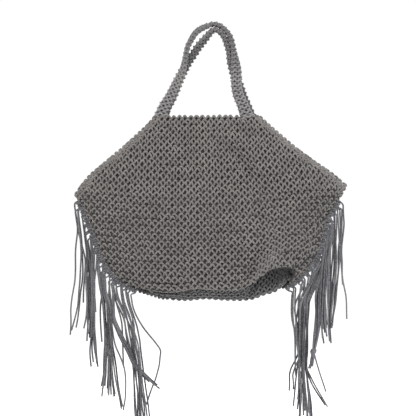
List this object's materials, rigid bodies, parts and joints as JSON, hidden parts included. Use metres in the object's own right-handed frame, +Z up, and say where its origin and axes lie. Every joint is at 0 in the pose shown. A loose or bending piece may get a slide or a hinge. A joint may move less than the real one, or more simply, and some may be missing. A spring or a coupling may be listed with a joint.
{
  "type": "shoulder bag",
  "caption": "Knotted cord shoulder bag with two straps, a mouth open from corner to corner and a cord fringe along both side seams.",
  "frame": {"origin": "where the straps lie one over the other over whatever holds them, at the middle of the two", "axes": "+Z up, +X to the right seen from the front, the front panel faces -Y"},
  "size_m": [0.4623, 0.0856, 0.673],
  "materials": {
    "panel_cord": "matt knotted cord",
    "base_cord": "matt knotted cord",
    "strap_cord": "matt knotted cord",
    "fringe_cord": "matt loose cord"
  },
  "bodies": {
    "root": {"front_panel": "panel_cord", "back_panel": "panel_cord", "base": "base_cord", "handle_front": "strap_cord", "handle_back": "strap_cord", "fringe_left": "fringe_cord", "fringe_right": "fringe_cord"}
  },
  "joints": []
}
